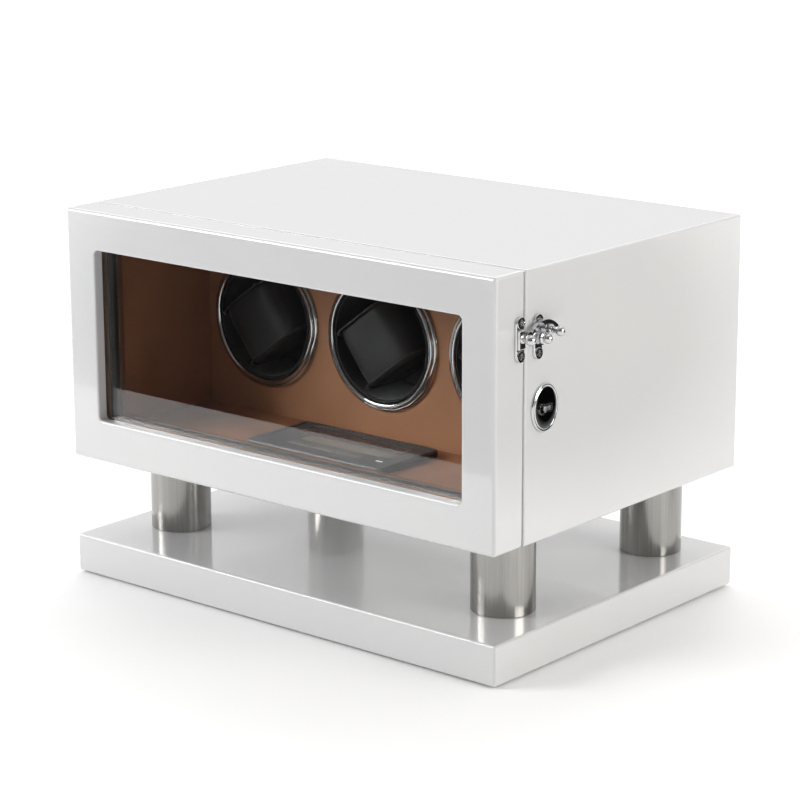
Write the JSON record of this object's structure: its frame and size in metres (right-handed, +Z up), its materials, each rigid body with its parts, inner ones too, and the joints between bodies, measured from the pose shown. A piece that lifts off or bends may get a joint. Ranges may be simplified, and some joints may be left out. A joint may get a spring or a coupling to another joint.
{
  "type": "watch winder box",
  "caption": "Lacquered watch winder cabinet with a glazed, latched and lockable door, motor-driven watch rotors and steel posts on a plinth.",
  "frame": {"origin": "centre of the underside, on the surface it stands on", "axes": "+X towards the latch side, -Y out of the door, +Z up"},
  "size_m": [0.36, 0.2446, 0.2386],
  "materials": {
    "felt": "dense black felt",
    "white_lacquer": "board with white high-gloss lacquer",
    "back_board": "board with white satin lacquer",
    "post_steel": "satin stainless steel, fine lengthwise brushing",
    "fastener_steel": "plated steel",
    "tan_leather": "tan leather over board, fine grain",
    "brown_leather": "brown leather over strip",
    "chrome": "polished",
    "plain_board": "bare board",
    "inner_plastic": "moulded",
    "bush_bronze": "sintered bronze",
    "motor_steel": "drawn can",
    "black_velvet": "black flocked moulding",
    "gear_steel": "machined",
    "gear_brass": "machined",
    "black_leather": "soft black leather over foam",
    "console_plastic": "satin dark grey moulding",
    "display_glass": "liquid crystal window, switched off",
    "circuit_board": "solder mask",
    "key_plastic": "soft-touch",
    "black_plastic": "moulded",
    "clear_glass": "clear float glass",
    "black_seal": "flocked black strip"
  },
  "bodies": {
    "cabinet": {"felt_pad": "felt", "plinth": "white_lacquer", "support_posts": "post_steel", "tie_bolts": "fastener_steel", "cabinet_bottom": "white_lacquer", "cabinet_top": "white_lacquer", "cabinet_left_side": "white_lacquer", "cabinet_right_side": "white_lacquer", "back_panel": "back_board", "floor_lining": "tan_leather", "wall_linings": "tan_leather", "rotor_panel": "tan_leather", "bezel_rings": "chrome", "drive_board": "plain_board", "motor_plates": "inner_plastic", "spindle_bushes": "bush_bronze", "motors": "motor_steel", "console_housing": "console_plastic", "console_display": "display_glass", "controller_board": "circuit_board", "dc_inlet": "black_plastic", "switch_bezel": "black_plastic", "hinge_cabinet_leaves": "chrome", "hinge_pins": "chrome", "latch_plate": "chrome", "latch_pivot": "chrome", "lock_escutcheon": "chrome", "lock_case": "gear_steel", "cabinet_screws": "fastener_steel"},
    "door": {"door_left_stile": "white_lacquer", "door_right_stile": "white_lacquer", "door_top_rail": "white_lacquer", "door_bottom_rail": "white_lacquer", "door_glass": "clear_glass", "glass_bead": "brown_leather", "door_gasket": "black_seal", "door_lining": "brown_leather", "hinge_door_leaves": "chrome", "latch_keeper": "chrome", "strike_plate": "gear_steel", "door_screws": "fastener_steel"},
    "hook": {"latch_hook": "chrome"},
    "plug": {"lock_plug": "gear_brass"},
    "bolt": {"lock_bolt": "gear_brass"},
    "rocker": {"power_rocker": "black_plastic"},
    "rotor_1": {"cup_1": "black_velvet", "spindle_1": "gear_steel"},
    "motor_pinion_1": {"pinion_1": "gear_brass"},
    "watch_cushion_1": {"cushion_1": "black_leather"},
    "control_key_1": {"key_1": "key_plastic"},
    "rotor_2": {"cup_2": "black_velvet", "spindle_2": "gear_steel"},
    "motor_pinion_2": {"pinion_2": "gear_brass"},
    "watch_cushion_2": {"cushion_2": "black_leather"},
    "control_key_2": {"key_2": "key_plastic"},
    "rotor_3": {"cup_3": "black_velvet", "spindle_3": "gear_steel"},
    "motor_pinion_3": {"pinion_3": "gear_brass"},
    "watch_cushion_3": {"cushion_3": "black_leather"},
    "control_key_3": {"key_3": "key_plastic"}
  },
  "joints": [
    {"name": "door_hinge", "type": "hinge", "parent": "cabinet", "child": "door", "pos_m": [-0.1722, -0.0955, 0.158], "axis": [0, 0, -1], "range_deg": [0, 105]},
    {"name": "latch_swing", "type": "hinge", "parent": "cabinet", "child": "hook", "pos_m": [0.174, -0.0863, 0.1995], "axis": [-1, 0, 0], "range_deg": [0, 75]},
    {"name": "lock_turn", "type": "hinge", "parent": "cabinet", "child": "plug", "pos_m": [0.166, -0.0825, 0.157], "axis": [1, 0, 0], "range_deg": [0, 90]},
    {"name": "bolt_throw", "type": "slide", "parent": "cabinet", "child": "bolt", "axis": [0, -1, 0], "range_m": [0, 0.006]},
    {"name": "power_switch", "type": "hinge", "parent": "cabinet", "child": "rocker", "pos_m": [-0.09, 0.1188, 0.112], "axis": [1, 0, 0], "range_deg": [0, 16]},
    {"name": "rotor_spin_1", "type": "hinge", "parent": "cabinet", "child": "rotor_1", "pos_m": [-0.0976, 0, 0.1584], "axis": [0, 1, 0], "continuous": true},
    {"name": "pinion_spin_1", "type": "hinge", "parent": "cabinet", "child": "motor_pinion_1", "pos_m": [-0.0976, 0.046, 0.1284], "axis": [0, 1, 0], "continuous": true},
    {"name": "cushion_pull_1", "type": "slide", "parent": "rotor_1", "child": "watch_cushion_1", "axis": [0, -1, 0], "range_m": [0, 0.06]},
    {"name": "key_press_1", "type": "slide", "parent": "cabinet", "child": "control_key_1", "axis": [0, 0, -1], "range_m": [0, 0.0008], "stiffness_N_per_m": 400, "springref_m": -0.0005},
    {"name": "rotor_spin_2", "type": "hinge", "parent": "cabinet", "child": "rotor_2", "pos_m": [0, 0, 0.1584], "axis": [0, 1, 0], "continuous": true},
    {"name": "pinion_spin_2", "type": "hinge", "parent": "cabinet", "child": "motor_pinion_2", "pos_m": [0, 0.046, 0.1284], "axis": [0, 1, 0], "continuous": true},
    {"name": "cushion_pull_2", "type": "slide", "parent": "rotor_2", "child": "watch_cushion_2", "axis": [0, -1, 0], "range_m": [0, 0.06]},
    {"name": "key_press_2", "type": "slide", "parent": "cabinet", "child": "control_key_2", "axis": [0, 0, -1], "range_m": [0, 0.0008], "stiffness_N_per_m": 400, "springref_m": -0.0005},
    {"name": "rotor_spin_3", "type": "hinge", "parent": "cabinet", "child": "rotor_3", "pos_m": [0.0976, 0, 0.1584], "axis": [0, 1, 0], "continuous": true},
    {"name": "pinion_spin_3", "type": "hinge", "parent": "cabinet", "child": "motor_pinion_3", "pos_m": [0.0976, 0.046, 0.1284], "axis": [0, 1, 0], "continuous": true},
    {"name": "cushion_pull_3", "type": "slide", "parent": "rotor_3", "child": "watch_cushion_3", "axis": [0, -1, 0], "range_m": [0, 0.06]},
    {"name": "key_press_3", "type": "slide", "parent": "cabinet", "child": "control_key_3", "axis": [0, 0, -1], "range_m": [0, 0.0008], "stiffness_N_per_m": 400, "springref_m": -0.0005}
  ],
  "couplings": [
    {"joint": "lock_turn", "follows": "bolt_throw", "rad_per_m": 261.8},
    {"joint": "pinion_spin_1", "follows": "rotor_spin_1", "ratio": -4},
    {"joint": "pinion_spin_2", "follows": "rotor_spin_2", "ratio": -4},
    {"joint": "pinion_spin_3", "follows": "rotor_spin_3", "ratio": -4}
  ]
}
